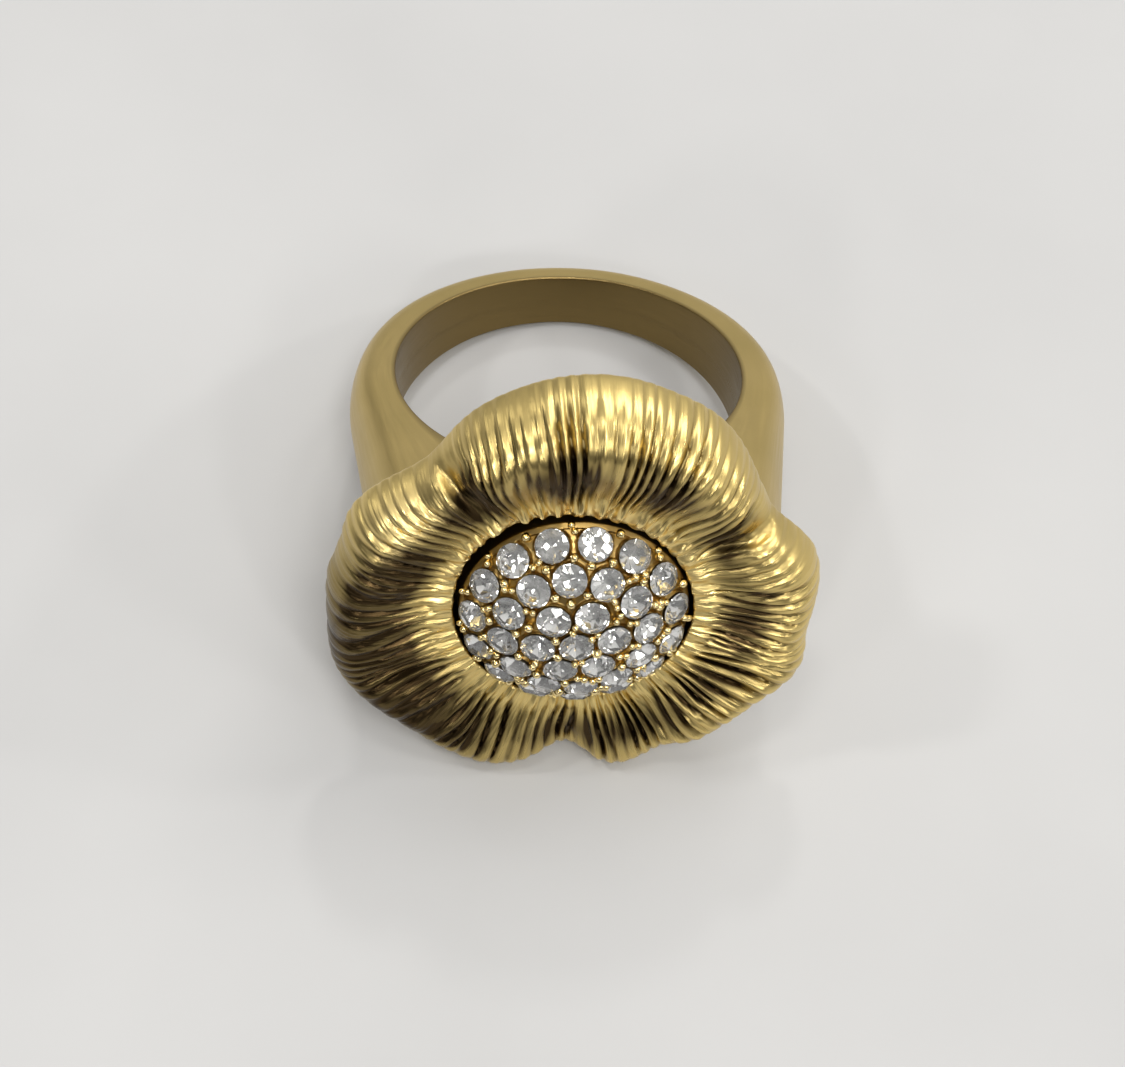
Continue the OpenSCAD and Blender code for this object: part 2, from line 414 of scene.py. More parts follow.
def top_share(a):
    """1 over the top petal, 0 over the lower ones."""
    return step(25, 60, a % 360) * (1 - step(110, 140, a % 360))


def bell(x, centre, width):
    """A rounded hump that is 1 at the centre and dies away about two widths from it."""
    return np.exp(-(((x - centre) / width) ** 2))


def hump(a, centre, width):
    """A bell round an angle."""
    return bell(turn_from(a, centre), 0, width)


def ridge_depth(a, s):
    """How deep the ridges are in millimetres: they fade towards the lip and the rim."""
    rng = np.random.default_rng(SEED + 1)
    uneven = 1 + 0.4 * waves(a, s, rng, 3, 30, 1.5, 10)
    by_angle = 0.88 + 0.62 * hump(a, 340, 30) + 0.27 * hump(a, 270, 26) + 0.3 * hump(a, 104, 26)
    fade_from = 0.77 + 0.09 * top_share(a) - 0.04 * hump(a, 122, 16)
    left_at_rim = 0.35 - 0.15 * top_share(a)
    at_lip = 0.2 + 0.5 * hump(a, 280, 45)
    by_share = at_lip + (1 - at_lip) * step(0.04, 0.2, s)
    by_share = by_share * (1 - (1 - left_at_rim) * step(fade_from, fade_from + 0.18, s))
    return RIDGE_DEPTH * np.clip(uneven, 0.6, 1.7) * by_angle * by_share


def overlap(t, drop, slope, lip):
    """The step where a petal lies over the top one: a sharp drop at t = 0 that eases off below it."""
    sharp = 1 - step(-0.8, 1.2, t)
    return -drop * sharp * np.exp(np.minimum(t, 0) / slope) + lip * bell(t, 3.2, 2.4)


def petal_lumps(a, s):
    """Slow folds over the petals, the steps where they overlap, and the blobs on the inner lip."""
    rng = np.random.default_rng(SEED + 2)
    lumps = 0.12 * waves(a, s, rng, 7, 22, 2.5, 9) * step(0.0, 0.3, s) * (1 - step(0.55, 0.8, s))
    reach = step(0.12, 0.45, s) * (1 - step(0.9, 0.99, s))
    lumps = lumps + reach * overlap(turn_from(a, LEFT_EDGE_AT + 4 * (s - 0.5)), 0.5, 9, 0.2)
    lumps = lumps + reach * overlap(turn_from(RIGHT_EDGE_AT - 5 * (s - 0.5), a), 0.42, 10, 0.14)
    for centre, width, depth in FURROWS:
        lumps = lumps - depth * hump(a, centre, width) * step(0.2, 0.5, s) * (1 - step(0.7, 0.9, s))
    blob_turn = LIP_BLOBS / 2 * np.radians(a) + 0.9 * waves(a, s, rng, 3, 12, 0.5, 6)
    blobs = 1.2 * np.sin(blob_turn) ** 2
    around_top = 0.35 + 0.65 * hump(a, 90, 80)
    return lumps + BLOB_HEIGHT * blobs * around_top * bell(s, 0.08, 0.08)


def lip_lean(a):
    """How far the lip leans in over the dome's edge at angles a, in millimetres."""
    below = LEAN_BELOW * (1 - step(-0.35, 0.75, np.sin(np.radians(a + 35))))
    return below + LEAN_LEFT * hump(a, 130, 38) + LEAN_RIGHT * hump(a, 20, 40)


def flower_rows(a):
    """The flower's rows from its recess over the face to its hub: radius, height, share of the way from
    lip to rim, and how much of the ridges' relief the row takes."""
    one = np.ones_like(a)
    rows = []

    def add(r, h, share, weight):
        rows.append((r * one, h * one, share * one, weight * one))

    for r in (0.4, 2.5, RECESS_R - 0.2):
        add(r, FLOOR_H, 0, 0)
    add(RECESS_R, FLOOR_H + 0.15, 0, 0)
    for h in np.linspace(FLOOR_H + 0.6, LIP_H - 0.5, 3):
        add(RECESS_R, h, 0, 0)
    lean = lip_lean(a)
    add(RECESS_R - 0.6 * lean, LIP_H - 0.3, 0, 0.15)
    add(RECESS_R + 0.02 - 0.9 * lean, LIP_H - 0.14, 0, 0.4)
    add(RECESS_R + 0.05 - lean, LIP_H - 0.04, 0, 0.7)
    shares = np.concatenate([np.linspace(0, 0.9, 50), 1 - 0.1 * (1 - np.linspace(0, 1, 9)[1:]) ** 2])
    for s in shares:
        add(at(s, a) - lean * (1 - step(0, 0.12, s)), face_h(s, a), s, 1)
    add(rim_r(a) - 0.02, rim_h(a) - 0.12, 1, 0.8)
    add(rim_r(a) - 0.08, rim_h(a) - 0.24, 1, 0.5)
    for s in (0.97, 0.94, 0.9, 0.85, 0.8, 0.72, 0.65, 0.57, 0.5, 0.42, 0.35, 0.27, 0.2):
        level = face_h(s, a) - SHEET_T if s < 0.95 else rim_h(a) - 0.3
        add(at(s, a), level, s, 0)
    add(HUB_R + 0.3, HEAD_H + 0.9, 0, 0)
    add(HUB_R + 0.08, HEAD_H + 0.45, 0, 0)
    add(HUB_R, HEAD_H + 0.1, 0, 0)
    add(HUB_R - 0.1, HEAD_H, 0, 0)
    add(3.5, HEAD_H, 0, 0)
    add(1.0, HEAD_H, 0, 0)
    return [np.array(column) for column in zip(*rows)]


def grid_normals(grid):
    """Normals of a grid of points that closes on itself along its second index."""
    down = np.gradient(grid, axis=0)
    across = np.roll(grid, -1, axis=1) - np.roll(grid, 1, axis=1)
    normal = np.cross(across, down)
    return normal / np.maximum(np.linalg.norm(normal, axis=2, keepdims=True), 1e-9)


def patina_and_shade_values(a, s, weight):
    """How much darker the flower is painted: patina and painted dark reflection in the bowl between lip
    and crest, more on the left as painted shade, painted shadow under the petals' edges, and painted
    shade in the recess and, less, elsewhere off the face."""
    blotch = waves(a, s, np.random.default_rng(SEED + 6), 2, 12, 3.0, 8)
    left = hump(a, 200, 55)
    right = hump(a, 345, 35)
    # Patina and painted dark reflection on the bowl's slope between lip and crest, more on the top
    # petal and on the left
    bowl_at = 0.48 + 0.14 * left - 0.12 * right
    bowl = bell(s, bowl_at, 0.24 + 0.15 * left) * (0.9 + 0.35 * blotch + 0.2 * right)
    bowl = bowl * (1 + 0.35 * hump(a, 108, 24)) + 0.2 * hump(a, 190, 70) * step(0.1, 0.3, s)
    # Painted highlight: less painted shade on the left crest's end
    bright_crest = hump(a, 150, 14) * step(0.6, 0.75, s)
    # Painted shade: the left lobes are darkened, the side away from the light
    left_side_shade = 0.75 * hump(a, 188, 34) * step(0.25, 0.45, s) * (1 - 0.5 * step(0.8, 0.95, s))
    on_face = weight > 0.9
    off_face = weight < 0.5
    bowl = (bowl * (1 + 0.45 * left) + left_side_shade) * (1 - 0.7 * bright_crest) * on_face
    # Painted shade: the recess is darkened most, the other rows off the face less
    in_recess = (np.arange(len(s)) < RECESS_ROWS)[:, None]
    bowl = bowl + np.where(in_recess, 1.3, 0.6) * off_face
    # Painted shadow under the side petals' edges where they lie over the top petal
    under = hump(a, 124, 4) + 0.8 * hump(a, 34, 4.5)
    return bowl + 0.8 * under * step(0.25, 0.5, s) * (1 - step(0.85, 0.99, s)) * on_face


def painted_highlight_values(a, s, weight):
    """Where the gold is painted brighter as a painted highlight: on the lip, most at the top, and on
    the left crest's end.
    """
    lip = (0.3 + 0.7 * hump(a, 90, 70)) * bell(s, 0.06, 0.08)
    crest = 0.8 * hump(a, 144, 9) * step(0.55, 0.7, s) * (1 - step(0.9, 1.0, s))
    return (lip + crest) * (weight > 0.3)


def casting_marks(a, s):
    """A slow unevenness of the flower's back in millimetres, as it was cast."""
    back = (np.arange(len(s)) > LAST_RIM_ROW)[:, None]
    return 0.05 * waves(a, s, np.random.default_rng(SEED + 3), 5, 30, 6.0, 10) * back * (s > 0.1)


def build_flower():
    a = np.arange(FLOWER_COLUMNS) * 360 / FLOWER_COLUMNS
    r, h, share, weight = flower_rows(a)
    angle = np.broadcast_to(a, r.shape)
    grid = np.stack([r * np.cos(np.radians(angle)), r * np.sin(np.radians(angle)), h], 2)
    field = ridge_field(angle, share)
    depth = ridge_depth(angle, share)
    push = weight * (depth * (field - RIDGE_CUT) + petal_lumps(angle, share))
    normals = grid_normals(grid)
    normals *= np.sign(normals[FACE_ROW:FACE_ROW + 1, :, 2:3])
    grid = grid + normals * (push + casting_marks(angle, share))[:, :, None]
    rows = len(r)
    faces = loop_grid(rows, FLOWER_COLUMNS).tolist() + end_faces(rows, FLOWER_COLUMNS)
    points, faces = with_feet(grid.reshape(-1, 3), faces)
    obj = make_piece("flower_cast", place(on_flower(points)), faces, sharp=75)

    depth_share = depth / RIDGE_DEPTH
    groove = (1 - field) * np.clip(depth_share, 0, 1.4) * weight
    smooth = (1 - np.clip(depth_share * 2.2, 0, 1)) * step(0.1, 0.25, share)
    # Painted highlight on the lip and the left crest's end
    painted_highlight = painted_highlight_values(angle, share, weight)
    on_feet = np.zeros(len(points) - share.size)
    add_values(obj, "groove", np.append(groove.ravel(), on_feet))
    # Painted shade: the feet under the side petals are darkened too
    add_values(obj, "bowl", np.append(patina_and_shade_values(angle, share, weight).ravel(), on_feet + 0.5))
    add_values(obj, "smooth", np.append(smooth.ravel(), on_feet + 1))
    add_values(obj, "painted_highlight", np.append(painted_highlight.ravel(), on_feet))
    brush = np.stack([angle * 0.2, share * 5, np.zeros_like(share)], 2).reshape(-1, 3)
    add_vectors(obj, "brush", np.vstack([brush, points[share.size:]]))
    return obj


def with_feet(points, faces):
    """Adds the two blocks that carry the side petals on the shoulders: each runs up into the petal's
    back."""
    points, faces = list(points), list(faces)
    last = len(FOOT_LEVELS) - 1
    for side in (1, -1):
        base = len(points)
        for rise, reach, half in FOOT_LEVELS:
            for corner in range(FOOT_CORNERS):
                t = 2 * math.pi * corner / FOOT_CORNERS
                c, s = math.cos(t), math.sin(t)
                x = FOOT_X + (reach - FOOT_X) * math.copysign(abs(c) ** FOOT_SQUARENESS, c)
                y = half * math.copysign(abs(s) ** FOOT_SQUARENESS, s)
                points.append((side * x, y, HEAD_H + rise))
        bottom, top = end_faces(last + 1, FOOT_CORNERS)
        quads = loop_grid(last + 1, FOOT_CORNERS).tolist() + [bottom, top]
        for quad in quads:
            face = [base + i for i in quad]
            faces.append(face if side > 0 else face[::-1])
    return np.array(points), faces


# ---------- dome ----------
def directions(spots):
    """Unit vectors from the dome's middle towards places on it."""
    polar = np.radians([p for p, t in spots])
    turn = np.radians([t for p, t in spots])
    return np.stack([np.sin(polar) * np.cos(turn), np.sin(polar) * np.sin(turn), np.cos(polar)], 1)


def build_dome():
    """The domed setting: a seat under each stone, lower metal between the stones, and the skirt down
    to the recess."""
    columns, cap_rows = 480, 120
    widest = math.degrees(math.asin(SKIRT_R / DOME_R))
    polar = np.radians(np.linspace(0.4, widest, cap_rows))
    turn = np.radians(np.arange(columns) * 360 / columns)
    p, t = np.meshgrid(polar, turn, indexing="ij")
    out = np.stack([np.sin(p) * np.cos(t), np.sin(p) * np.sin(t), np.cos(p)], 2)
    seats = directions(places(STONE_RINGS))
    nearest = DOME_R * np.arccos(np.clip((out @ seats.T).max(2), -1, 1))
    seat_r = STONE_R + SEAT_GAP
    seat = np.clip(1 - nearest / seat_r, 0, 1) * PAVILION_H * 1.05
    sunk = 0.16 * step(seat_r, STONE_R + 0.1, nearest) * (p < polar[-6])
    radius = DOME_R - seat - sunk
    cap = out * radius[:, :, None] + (0, 0, DOME_C)
    base = cap[-1, :, 2].mean()
    x, y = SKIRT_R * np.cos(turn), SKIRT_R * np.sin(turn)
    heights = np.linspace(base - 0.1, FLOOR_H + 0.02, 6)
    skirt = [np.stack([x, y, np.full(columns, h)], 1) for h in heights]
    grid = np.concatenate([cap, skirt])
    quads = loop_grid(len(grid), columns).tolist() + end_faces(len(grid), columns)
    faces = [quad[::-1] for quad in quads]
    return make_piece("dome_setting", place(on_flower(grid.reshape(-1, 3))), faces, sharp=50)


def ball(radius, rings=9, columns=14):
    """The points and faces of a small ball round the origin."""
    points = [(0, 0, radius)]
    for i in range(1, rings):
        v = math.pi * i / rings
        across = radius * math.sin(v)
        for j in range(columns):
            u = 2 * math.pi * j / columns
            points.append((across * math.cos(u), across * math.sin(u), radius * math.cos(v)))
    points.append((0, 0, -radius))
    faces = [(0, 1 + j, 1 + (j + 1) % columns) for j in range(columns)]
    for i in range(rings - 2):
        for j in range(columns):
            a, b = 1 + i * columns + j, 1 + i * columns + (j + 1) % columns
            faces.append((a, a + columns, b + columns, b))
    last = 1 + (rings - 2) * columns
    faces += [(last + j, len(points) - 1, last + (j + 1) % columns) for j in range(columns)]
    return np.array(points), faces


def build_beads():
    """The small beads raised from the setting, about half of them in pairs, between the stones."""
    rng = np.random.default_rng(SEED + 4)
    points, faces, total = [], [], 0
    for polar, turn in places(BEAD_RINGS):
        pair = rng.uniform() < 0.5
        lean = rng.uniform(0, 2 * math.pi)
        for side in ((1, -1) if pair else (0,)):
            radius = BEAD_R * (rng.uniform(0.85, 1.0) if pair else rng.uniform(1.05, 1.2))
            shape, ball_faces = ball(radius)
            aside = side * BEAD_APART
            shape = shape * (1, 1, 1.3) + (aside * math.cos(lean), aside * math.sin(lean), 0)
            points.append(on_dome(shape, polar, turn, DOME_R + 0.03))
            faces += [[i + total for i in face] for face in ball_faces]
            total += len(shape)
    return make_piece("dome_beads", place(on_flower(np.vstack(points))), faces, sharp=180)


# ---------- stones ----------
def brilliant():
    """A small machine-cut stone with its girdle's lower edge at z = 0: its points, its crown's faces
    and its pavilion's faces."""
    table_r = 0.52 * STONE_R
    star_r = 0.9 * STONE_R
    crown_top = GIRDLE_T + CROWN_H
    star_z = GIRDLE_T + 0.34 * CROWN_H

    def ring(radius, z, count, first):
        turns = [2 * math.pi * (k + first) / count for k in range(count)]
        return [(radius * math.cos(t), radius * math.sin(t), z) for t in turns]

    points = ring(table_r, crown_top, 8, 0) + ring(star_r, star_z, 8, 0.5)
    points += ring(STONE_R, GIRDLE_T, 16, 0) + ring(STONE_R, 0, 16, 0) + [(0, 0, -PAVILION_H)]
    # Where each ring of points starts: the table's is at 0
    star, upper, lower, culet = 8, 16, 32, 48
    crown = [list(range(8))]
    pavilion = []
    for k in range(8):
        n = (k + 1) % 8
        first, second, third = 2 * k, 2 * k + 1, (2 * k + 2) % 16
        crown.append([k, star + k, n])
        crown.append([k, upper + first, star + k])
        crown.append([n, star + k, upper + third])
        crown.append([star + k, upper + first, upper + second])
        crown.append([star + k, upper + second, upper + third])
        pavilion.append([culet, lower + third, lower + second, lower + first])
    for k in range(16):
        n = (k + 1) % 16
        crown.append([upper + k, lower + k, lower + n, upper + n])
    return np.array(points), crown, pavilion


def build_stone(index, polar, turn, rng):
    """One stone on the dome, turned at random and tipped a little, as stones are when set by hand."""
    points, crown, pavilion = brilliant()
    spin = rng.uniform(0, 2 * math.pi)
    tip = rng.uniform(-1, 1, 2) * STONE_TIP
    c, s = math.cos(spin), math.sin(spin)
    points = points @ np.array([[c, s, 0], [-s, c, 0], [0, 0, 1]])
    x, y, z = points.T
    points = points + np.stack([z * tip[0], z * tip[1], -x * tip[0] - y * tip[1]], 1)
    slots = [0] * len(crown) + [1] * len(pavilion)
    name = "rhinestone_%02d" % (index + 1)
    shape = place(on_flower(on_dome(points, polar, turn, GIRDLE_AT)))
    return make_piece(name, shape, crown + pavilion, sharp=4, slots=slots)


# ---------- pin ----------
def build_pin():
    """The hidden pin through the dome, the flower and the head, with its two ends eased."""
    eased = PIN_R - PIN_ROUND
    profile = (
        (0.1, PIN_FOOT),
        (eased, PIN_FOOT),
        (PIN_R, PIN_FOOT + PIN_ROUND),
        (PIN_R, PIN_TOP - PIN_ROUND),
        (eased, PIN_TOP),
        (0.1, PIN_TOP),
    )
    columns = 48
    turn = np.arange(columns) * 2 * np.pi / columns
    x, y = np.cos(turn), np.sin(turn)
    rows = np.array([np.stack([r * x, r * y, np.full(columns, h)], 1) for r, h in profile])
    faces = loop_grid(len(profile), columns).tolist() + end_faces(len(profile), columns)
    return make_piece("pin_wire", place(on_flower(rows.reshape(-1, 3))), faces, sharp=40)


# ---------- materials ----------
# Shank colours: satin gold, a lighter tone of it, and a dark gold that is painted shade for the inner
# wall
SATIN_GOLD, SATIN_GOLD_LIGHT, INNER_SHADE_GOLD = (0.51, 0.385, 0.145), (0.57, 0.43, 0.17), (0.22, 0.155, 0.06)
# Petal colours: bright gold, a pale gold for painted highlights, and bronze for patina and painted
# shade
BRIGHT_GOLD, HIGHLIGHT_GOLD, PATINA_AND_SHADE_BRONZE = (0.74, 0.565, 0.215), (0.97, 0.76, 0.34), (0.055, 0.035, 0.015)
SETTING_GOLD, BEAD_GOLD, PIN_METAL = (0.36, 0.24, 0.08), (0.98, 0.78, 0.38), (0.55, 0.5, 0.42)
CLEAR, CLOUDY, GLASS_INDEX = (1.0, 1.0, 1.0), (0.96, 0.96, 0.96), 1.55
SILVER, DULL_SILVER, FOIL_METALLIC = (0.98, 0.98, 0.97), (0.90, 0.90, 0.89), 0.84
FLOOR_DARK, FLOOR_LIGHT = (0.47, 0.47, 0.47), (0.52, 0.52, 0.52)


def new_material(name):
    material = bpy.data.materials.new(name)
    material.use_nodes = True
    tree = material.node_tree
    tree.nodes.clear()
    output = tree.nodes.new("ShaderNodeOutputMaterial")
    shader = tree.nodes.new("ShaderNodeBsdfPrincipled")
    tree.links.new(shader.outputs["BSDF"], output.inputs["Surface"])
    return material, tree, shader


def surface(tree, shader, colour, rough, metallic):
    """Gives a shader its colour, its roughness and how much of a metal it is."""
    tree.links.new(colour, shader.inputs["Base Color"])
    tree.links.new(rough, shader.inputs["Roughness"])
    shader.inputs["Metallic"].default_value = metallic


def noise(tree, source, scale, stretch=(1, 1, 1), detail=4):
    """A cloudy pattern, mostly 0.3 to 0.7, at a place or on a brush vector."""
    mapping = tree.nodes.new("ShaderNodeMapping")
    mapping.inputs["Scale"].default_value = stretch
    tree.links.new(source, mapping.inputs["Vector"])
    texture = tree.nodes.new("ShaderNodeTexNoise")
    texture.inputs["Scale"].default_value = scale
    texture.inputs["Detail"].default_value = detail
    tree.links.new(mapping.outputs["Vector"], texture.inputs["Vector"])
    return texture.outputs["Fac"]


def ranged(tree, value, low, high, to_low, to_high):
    """A value from low to high, spread over to_low to to_high and held between them."""
    node = tree.nodes.new("ShaderNodeMapRange")
    node.inputs["From Min"].default_value = low
    node.inputs["From Max"].default_value = high
    node.inputs["To Min"].default_value = to_low
    node.inputs["To Max"].default_value = to_high
    tree.links.new(value, node.inputs["Value"])
    return node.outputs["Result"]


def mixed(tree, factor, first, second):
    """A colour mix; first and second are colours or sockets."""
    node = tree.nodes.new("ShaderNodeMix")
    node.data_type = "RGBA"
    tree.links.new(factor, node.inputs[0])
    for value, socket in ((first, node.inputs[6]), (second, node.inputs[7])):
        if isinstance(value, tuple):
            socket.default_value = (*value, 1)
        else:
            tree.links.new(value, socket)
    return node.outputs[2]


def combined(tree, first, second, operation="ADD"):
    """Two values added or multiplied, kept between 0 and 1."""
    node = tree.nodes.new("ShaderNodeMath")
    node.operation = operation
    node.use_clamp = True
    for value, socket in ((first, node.inputs[0]), (second, node.inputs[1])):
        if isinstance(value, (int, float)):
            socket.default_value = value
        else:
            tree.links.new(value, socket)
    return node.outputs[0]


def bump(tree, shader, height, depth_mm):
    node = tree.nodes.new("ShaderNodeBump")
    node.inputs["Strength"].default_value = 1.0
    node.inputs["Distance"].default_value = depth_mm * MM
    tree.links.new(height, node.inputs["Height"])
    tree.links.new(node.outputs["Normal"], shader.inputs["Normal"])


def attribute(tree, name, output="Fac"):
    node = tree.nodes.new("ShaderNodeAttribute")
    node.attribute_name = name
    return node.outputs[output]


def object_place(tree):
    return tree.nodes.new("ShaderNodeTexCoord").outputs["Object"]


def shank_gold():
    """Satin gold with fine brushing along the band, a little random tone, and painted shade on the
    inner wall.
    """
    material, tree, shader = new_material("satin_gold")
    brushed = noise(tree, attribute(tree, "brush", "Vector"), 1.0, (0.5, 14, 1), 6)
    cloud = noise(tree, object_place(tree), 220, detail=5)
    colour = mixed(tree, ranged(tree, cloud, 0.35, 0.65, 0, 1), SATIN_GOLD, SATIN_GOLD_LIGHT)
    # Painted shade: the inner wall is mixed to the dark gold
    colour = mixed(tree, attribute(tree, "inner_wall_shade"), colour, INNER_SHADE_GOLD)
    surface(tree, shader, colour, ranged(tree, brushed, 0.3, 0.7, 0.30, 0.42), 1)
    bump(tree, shader, brushed, 0.006)
    return material


def petal_gold():
    """Bright brushed gold, bronze patina in the grooves, bronze in the bowl as patina and painted
    shade, and painted highlights in places.
    """
    material, tree, shader = new_material("brushed_gold")
    groove = ranged(tree, attribute(tree, "groove"), 0.2, 0.85, 0, 1)
    bowl = ranged(tree, attribute(tree, "bowl"), 0.12, 1.35, 0, 0.9)
    cloud = ranged(tree, noise(tree, object_place(tree), 260, detail=5), 0.35, 0.65, -0.1, 0.1)
    # Groove patina and the painted shade and dark reflection of the bowl, mixed towards bronze
    deep = combined(tree, groove, ranged(tree, bowl, 0, 0.6, 0.62, 0.9), "MULTIPLY")
    patina_and_shade = combined(tree, combined(tree, bowl, cloud), deep)
    patina_and_shade = combined(tree, patina_and_shade, ranged(tree, attribute(tree, "smooth"), 0, 1, 0, 0.22))
    colour = mixed(tree, patina_and_shade, BRIGHT_GOLD, PATINA_AND_SHADE_BRONZE)
    # Painted highlight: mixed towards a pale gold on the lip and the left crest's end
    painted_highlight = ranged(tree, attribute(tree, "painted_highlight"), 0, 1, 0, 0.85)
    colour = mixed(tree, painted_highlight, colour, HIGHLIGHT_GOLD)
    scratch = noise(tree, attribute(tree, "brush", "Vector"), 1.0, (9, 0.6, 1), 5)
    satin = ranged(tree, attribute(tree, "smooth"), 0, 1, 0.0, 0.16)
    rough = combined(tree, ranged(tree, scratch, 0.3, 0.7, 0.25, 0.35), satin)
    surface(tree, shader, colour, rough, 1)
    bump(tree, shader, scratch, 0.02)
    return material


def plain_metal(name, tint, rough):
    """A smooth metal whose tint and roughness vary a little."""
    material, tree, shader = new_material(name)
    cloud = noise(tree, object_place(tree), 900, detail=3)
    colour = mixed(tree, ranged(tree, cloud, 0.35, 0.65, 0, 1), tint, tuple(0.8 * c for c in tint))
    surface(tree, shader, colour, ranged(tree, cloud, 0.3, 0.7, rough, rough + 0.1), 1)
    bump(tree, shader, cloud, 0.01)
    return material


def crystal():
    """Clear lead glass with a faint cloudiness in places."""
    material, tree, shader = new_material("crystal")
    cloud = noise(tree, object_place(tree), 700, detail=2)
    colour = mixed(tree, ranged(tree, cloud, 0.3, 0.7, 0, 1), CLEAR, CLOUDY)
    surface(tree, shader, colour, ranged(tree, cloud, 0.3, 0.7, 0.0, 0.01), 0)
    shader.inputs["Transmission Weight"].default_value = 1
    shader.inputs["IOR"].default_value = GLASS_INDEX
    return material


def foil():
    """The silvery backing of a stone, seen through the glass."""
    material, tree, shader = new_material("stone_foil")
    cloud = noise(tree, object_place(tree), 1500, detail=3)
    colour = mixed(tree, ranged(tree, cloud, 0.3, 0.7, 0, 1), SILVER, DULL_SILVER)
    surface(tree, shader, colour, ranged(tree, cloud, 0.3, 0.7, 0.01, 0.05), FOIL_METALLIC)
    return material


def floor_paint():
    material, tree, shader = new_material("pale_floor")
    cloud = noise(tree, object_place(tree), 30, detail=6)
    colour = mixed(tree, ranged(tree, cloud, 0.3, 0.7, 0, 1), FLOOR_DARK, FLOOR_LIGHT)
    surface(tree, shader, colour, ranged(tree, cloud, 0.3, 0.7, 0.75, 0.85), 0)
    bump(tree, shader, cloud, 0.05)
    return material


# ---------- surroundings ----------
# The floor's rings in metres: it is flat as far as FLAT_FLOOR_R and rises gently from there
FLOOR_RADII = (0.0001, 0.05, 0.1, 0.2, 0.4, 0.8, 1.5, 3.0)
FLAT_FLOOR_R, FLOOR_SLOPE = 0.8, 0.03
# The surroundings are a pale grey towards one side and dark on the other
PALE_SIDE = (0.50, 0.52, 0.70)
PALE_GREY, DARK_GREY = (0.76, 0.75, 0.73), (0.11, 0.11, 0.11)
# All the lamps are aimed at one point, in metres from the row frame's origin
LIT_POINT = (0, -0.008, 0.004)
LIGHT_TINT = (1.0, 0.985, 0.96)
SPARK_SIZE, SPARK_RADIANCE = (0.028, 0.028), 60.0
# Softboxes: place, width and height in metres, and how bright their faces are
SOFTBOXES = (
    ("key_above_right", (0.13, 0.15, 0.30), (0.15, 0.13), 4.6),
    ("strip_behind_left", (-0.26, 0.20, 0.16), (0.05, 0.16), 3.5),
    ("panel_front_left", (-0.20, -0.20, 0.24), (0.06, 0.06), 5.0),
    ("panel_near_camera", (0.03, -0.17, 0.34), (0.08, 0.08), 20.0),
    ("panel_front_right", (0.24, -0.18, 0.20), (0.06, 0.10), 6.0),
    ("panel_overhead", (-0.03, -0.02, 0.36), (0.06, 0.06), 14.0),
    ("spark_1", (-0.10, -0.28, 0.22), SPARK_SIZE, SPARK_RADIANCE),
    ("spark_2", (0.12, -0.26, 0.26), SPARK_SIZE, SPARK_RADIANCE),
    ("spark_3", (-0.22, 0.02, 0.28), SPARK_SIZE, SPARK_RADIANCE),
    ("spark_4", (0.30, 0.02, 0.18), SPARK_SIZE, SPARK_RADIANCE),
    ("spark_5", (0.02, 0.22, 0.28), SPARK_SIZE, SPARK_RADIANCE),
)


def build_floor(level):
    """A pale round floor with a slightly raised edge, under the whole ring."""
    points, columns = [], 96
    for radius in FLOOR_RADII:
        lift = FLOOR_SLOPE * max(0, radius - FLAT_FLOOR_R)
        for j in range(columns):
            t = 2 * math.pi * j / columns
            points.append((radius * math.cos(t), radius * math.sin(t), level + lift))
    faces = loop_grid(len(FLOOR_RADII), columns)[:, ::-1].tolist()
    faces.append(list(range(columns)))
    floor = make_piece("floor", points, faces, sharp=60)
    floor.data.materials.append(floor_paint())


def look_at(obj, target):
    obj.rotation_euler = (Vector(target) - obj.location).to_track_quat("-Z", "Y").to_euler()


def add_light(name, place_at, target, size, radiance):
    light = bpy.data.lights.new(name, "AREA")
    light.shape = "RECTANGLE"
    light.size, light.size_y = size
    light.energy = radiance * math.pi * size[0] * size[1]
    light.color = LIGHT_TINT
    obj = bpy.data.objects.new(name, light)
    obj.location = place_at
    bpy.context.scene.collection.objects.link(obj)
    look_at(obj, target)


def light_scene():
    """Plain surroundings that are paler on one side, and the softboxes."""
    world = bpy.data.worlds.new("studio")
    bpy.context.scene.world = world
    world.use_nodes = True
    tree = world.node_tree
    tree.nodes.clear()
    output = tree.nodes.new("ShaderNodeOutputWorld")
    background = tree.nodes.new("ShaderNodeBackground")
    coordinate = tree.nodes.new("ShaderNodeTexCoord")
    toward = tree.nodes.new("ShaderNodeVectorMath")
    toward.operation = "DOT_PRODUCT"
    tree.links.new(coordinate.outputs["Generated"], toward.inputs[0])
    toward.inputs[1].default_value = Vector(PALE_SIDE).normalized()
    bright = ranged(tree, toward.outputs["Value"], 0.0, 0.95, 0, 1)
    tint = mixed(tree, bright, DARK_GREY, PALE_GREY)
    tree.links.new(tint, background.inputs["Color"])
    background.inputs["Strength"].default_value = 1.0
    tree.links.new(background.outputs["Background"], output.inputs["Surface"])
    for name, spot, size, radiance in SOFTBOXES:
        add_light(name, spot, LIT_POINT, size, radiance)


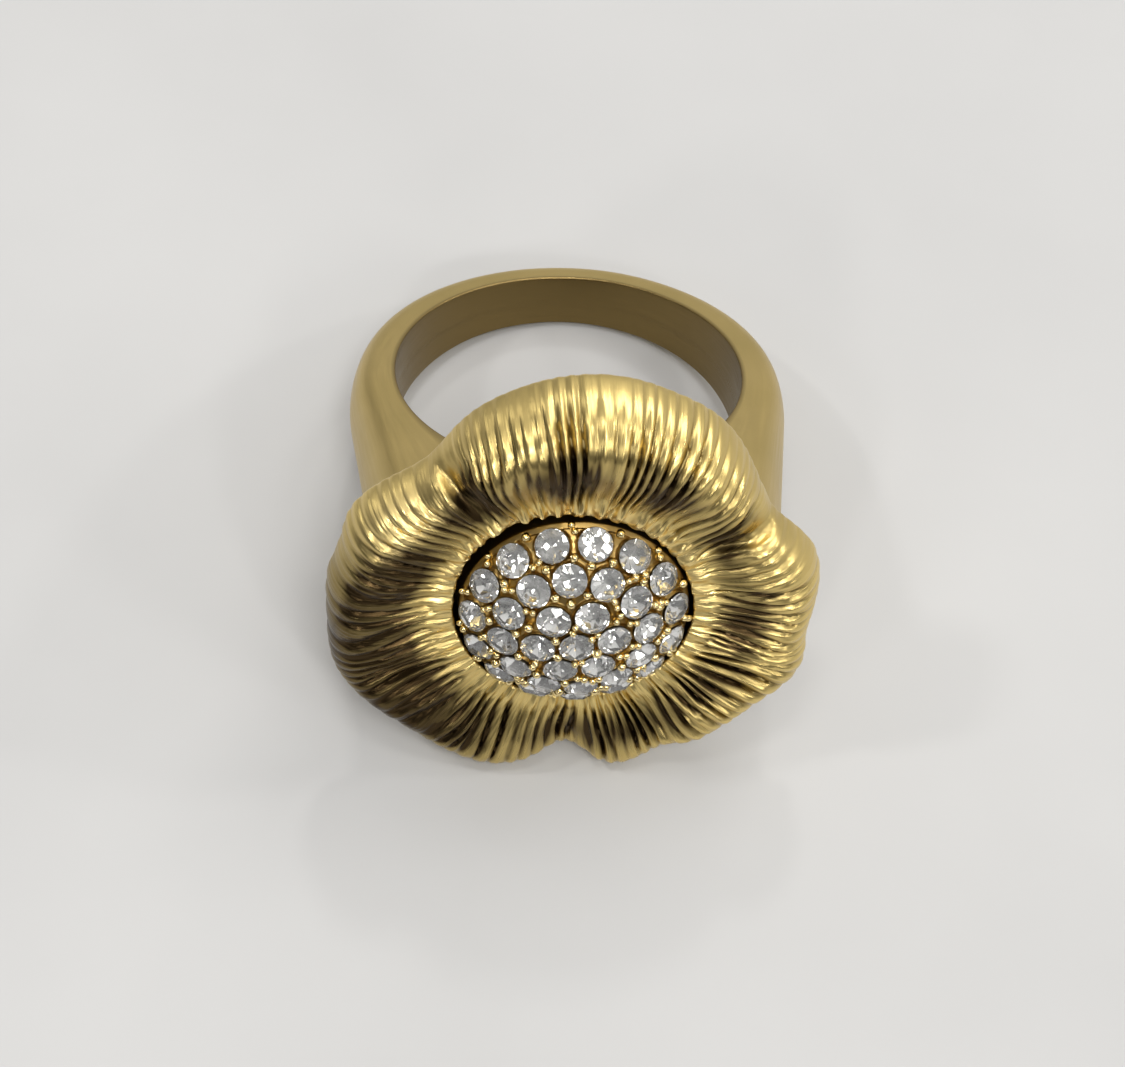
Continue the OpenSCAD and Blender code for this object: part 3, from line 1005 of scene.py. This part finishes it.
# Where the camera stands, in the ring's own frame: angle above the flower's axis, turn, roll, distance,
# and how far the picture's middle lies from the finger hole's centre, across and up
VIEW_RISE, VIEW_TURN, VIEW_ROLL = math.radians(41.42), math.radians(-4.7), math.radians(3.31)
VIEW_DISTANCE, VIEW_ACROSS, VIEW_UP = 150.0, 0.21, 6.54
LENS_MM, SENSOR_MM, CLIP_START_M = 95.1, 36, 0.01


def add_camera():
    level = math.cos(VIEW_RISE)
    back = (math.sin(VIEW_TURN) * level, -math.cos(VIEW_TURN) * level, math.sin(VIEW_RISE))
    right = np.cross((0, 0, 1), back)
    right /= np.linalg.norm(right)
    up = np.cross(back, right)
    c, s = math.cos(VIEW_ROLL), math.sin(VIEW_ROLL)
    right, up = c * right + s * up, -s * right + c * up
    eye = VIEW_DISTANCE * np.array(back) - VIEW_ACROSS * right - VIEW_UP * up
    eye, right, up, back = place([eye, right, up, back])
    data = bpy.data.cameras.new("camera")
    data.lens = LENS_MM
    data.sensor_fit = "HORIZONTAL"
    data.sensor_width = SENSOR_MM
    data.clip_start = CLIP_START_M
    camera = bpy.data.objects.new("camera", data)
    turned = Matrix(np.stack([right, up, back], 1) / MM)
    camera.matrix_world = Matrix.Translation(Vector(eye)) @ turned.to_4x4()
    bpy.context.scene.collection.objects.link(camera)
    bpy.context.scene.camera = camera


# ---------- assembly ----------
def settle(obj, node, materials):
    """Gives a piece its materials, hangs it under the root body and hides the CAD node it stands for.
    """
    for material in materials:
        obj.data.materials.append(material)
    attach(obj, "root")
    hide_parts(node)


def build_ring():
    settle(build_shank(), "shank", [shank_gold()])
    settle(build_flower(), "flower", [petal_gold()])
    dome_metal = plain_metal("setting_gold", SETTING_GOLD, 0.28)
    settle(build_dome(), "pave_dome", [dome_metal])
    beads = build_beads()
    beads.data.materials.append(plain_metal("bead_gold", BEAD_GOLD, 0.1))
    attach(beads, "root")
    settle(build_pin(), "centre_pin", [plain_metal("pin_metal", PIN_METAL, 0.35)])
    rng = np.random.default_rng(SEED + 5)
    glass, backing = crystal(), foil()
    for index, (polar, turn) in enumerate(places(STONE_RINGS)):
        stone = build_stone(index, polar, turn, rng)
        settle(stone, "stone_%02d" % (index + 1), [glass, backing])


build_ring()
build_floor(cad_box[0][2])
light_scene()
add_camera()
bpy.context.scene.view_settings.view_transform = "Standard"
